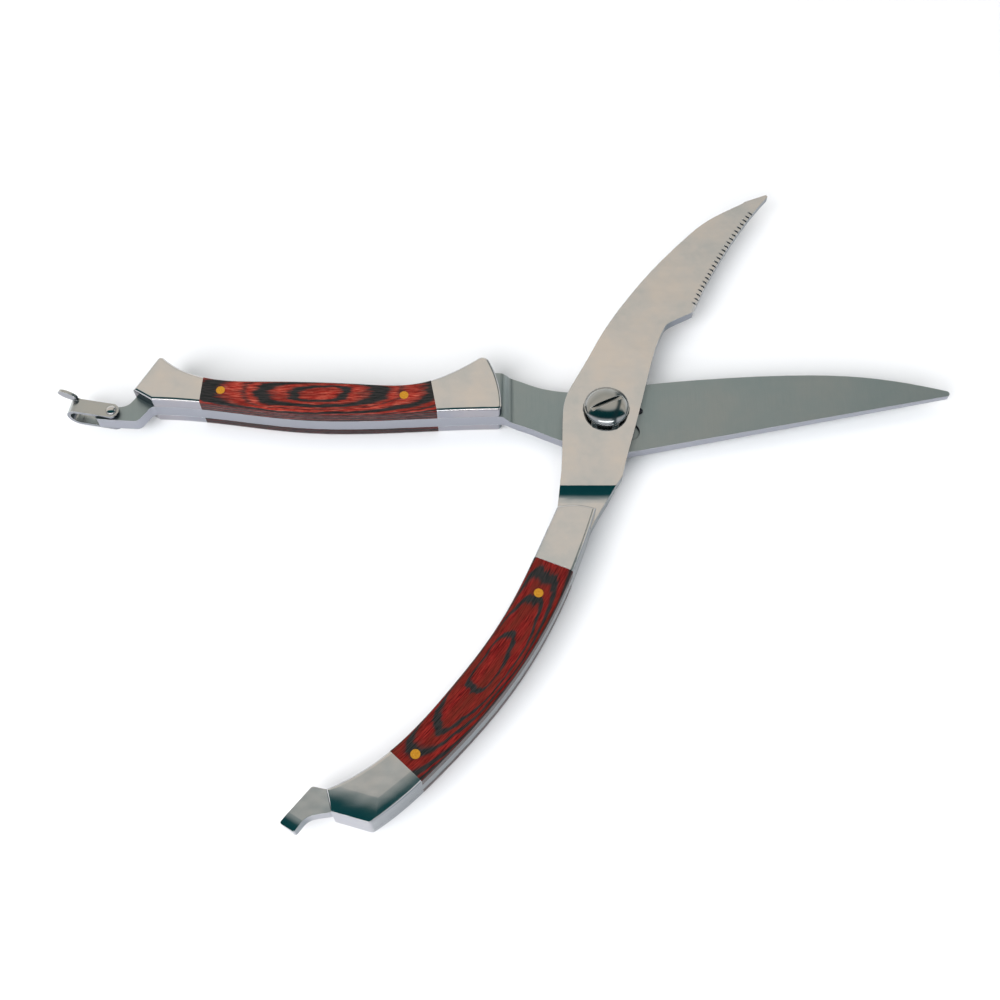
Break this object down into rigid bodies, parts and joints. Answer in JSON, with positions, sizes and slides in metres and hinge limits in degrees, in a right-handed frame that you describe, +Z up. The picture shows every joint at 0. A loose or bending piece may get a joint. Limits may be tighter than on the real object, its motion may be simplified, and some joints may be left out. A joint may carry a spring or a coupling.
{
  "type": "poultry shears",
  "caption": "Spring-opened poultry shears with crossed curved blades, a bone notch, riveted wood grips and a swinging strap latch at the butt.",
  "frame": {"origin": "on the pivot axis, in the plane that the closed or open shears rest on", "axes": "+X from the pivot towards the plain blade's tip, +Z up along the pivot axis towards the screw head, +Y to the left of the plain blade"},
  "size_m": [0.2639, 0.2035, 0.0141],
  "materials": {
    "polished_steel": "mirror-polished stainless steel",
    "satin_steel": "satin-ground stainless steel",
    "dark_steel": "dark oiled spring steel",
    "layered_wood": "red and black resin-bonded layered wood, polished",
    "brass": "polished brass"
  },
  "bodies": {
    "straight_half": {"plain_blade": "satin_steel", "straight_front_bolster_top": "polished_steel", "straight_front_bolster_bottom": "polished_steel", "straight_scale_top": "layered_wood", "straight_scale_bottom": "layered_wood", "straight_rear_bolster_top": "polished_steel", "straight_rear_bolster_bottom": "polished_steel", "straight_front_pin": "brass", "straight_rear_pin": "brass", "straight_bolster_dowels": "polished_steel", "pivot_screw": "polished_steel", "lock_ring": "dark_steel", "pivot_washer": "polished_steel", "pivot_nut": "polished_steel", "stop_pin": "polished_steel", "torsion_spring": "dark_steel", "latch_rivet": "polished_steel"},
    "curved_half": {"serrated_blade": "polished_steel", "curved_front_bolster_top": "polished_steel", "curved_front_bolster_bottom": "polished_steel", "curved_scale_top": "layered_wood", "curved_scale_bottom": "layered_wood", "curved_rear_bolster_top": "polished_steel", "curved_rear_bolster_bottom": "polished_steel", "curved_front_pin": "brass", "curved_rear_pin": "brass", "curved_bolster_dowels": "polished_steel"},
    "latch": {"latch_clip": "polished_steel"}
  },
  "joints": [
    {"name": "grip_hinge", "type": "hinge", "parent": "straight_half", "child": "curved_half", "pos_m": [0, 0, 0.0066], "axis": [0, 0, 1], "range_deg": [-52.5, 0], "stiffness_Nm_per_rad": 0.45, "springref_deg": 34.38, "deforming": ["torsion_spring"]},
    {"name": "latch_hinge", "type": "hinge", "parent": "straight_half", "child": "latch", "pos_m": [-0.1449, -0.0006, 0.0066], "axis": [0, 0, 1], "range_deg": [-90, 100]}
  ]
}
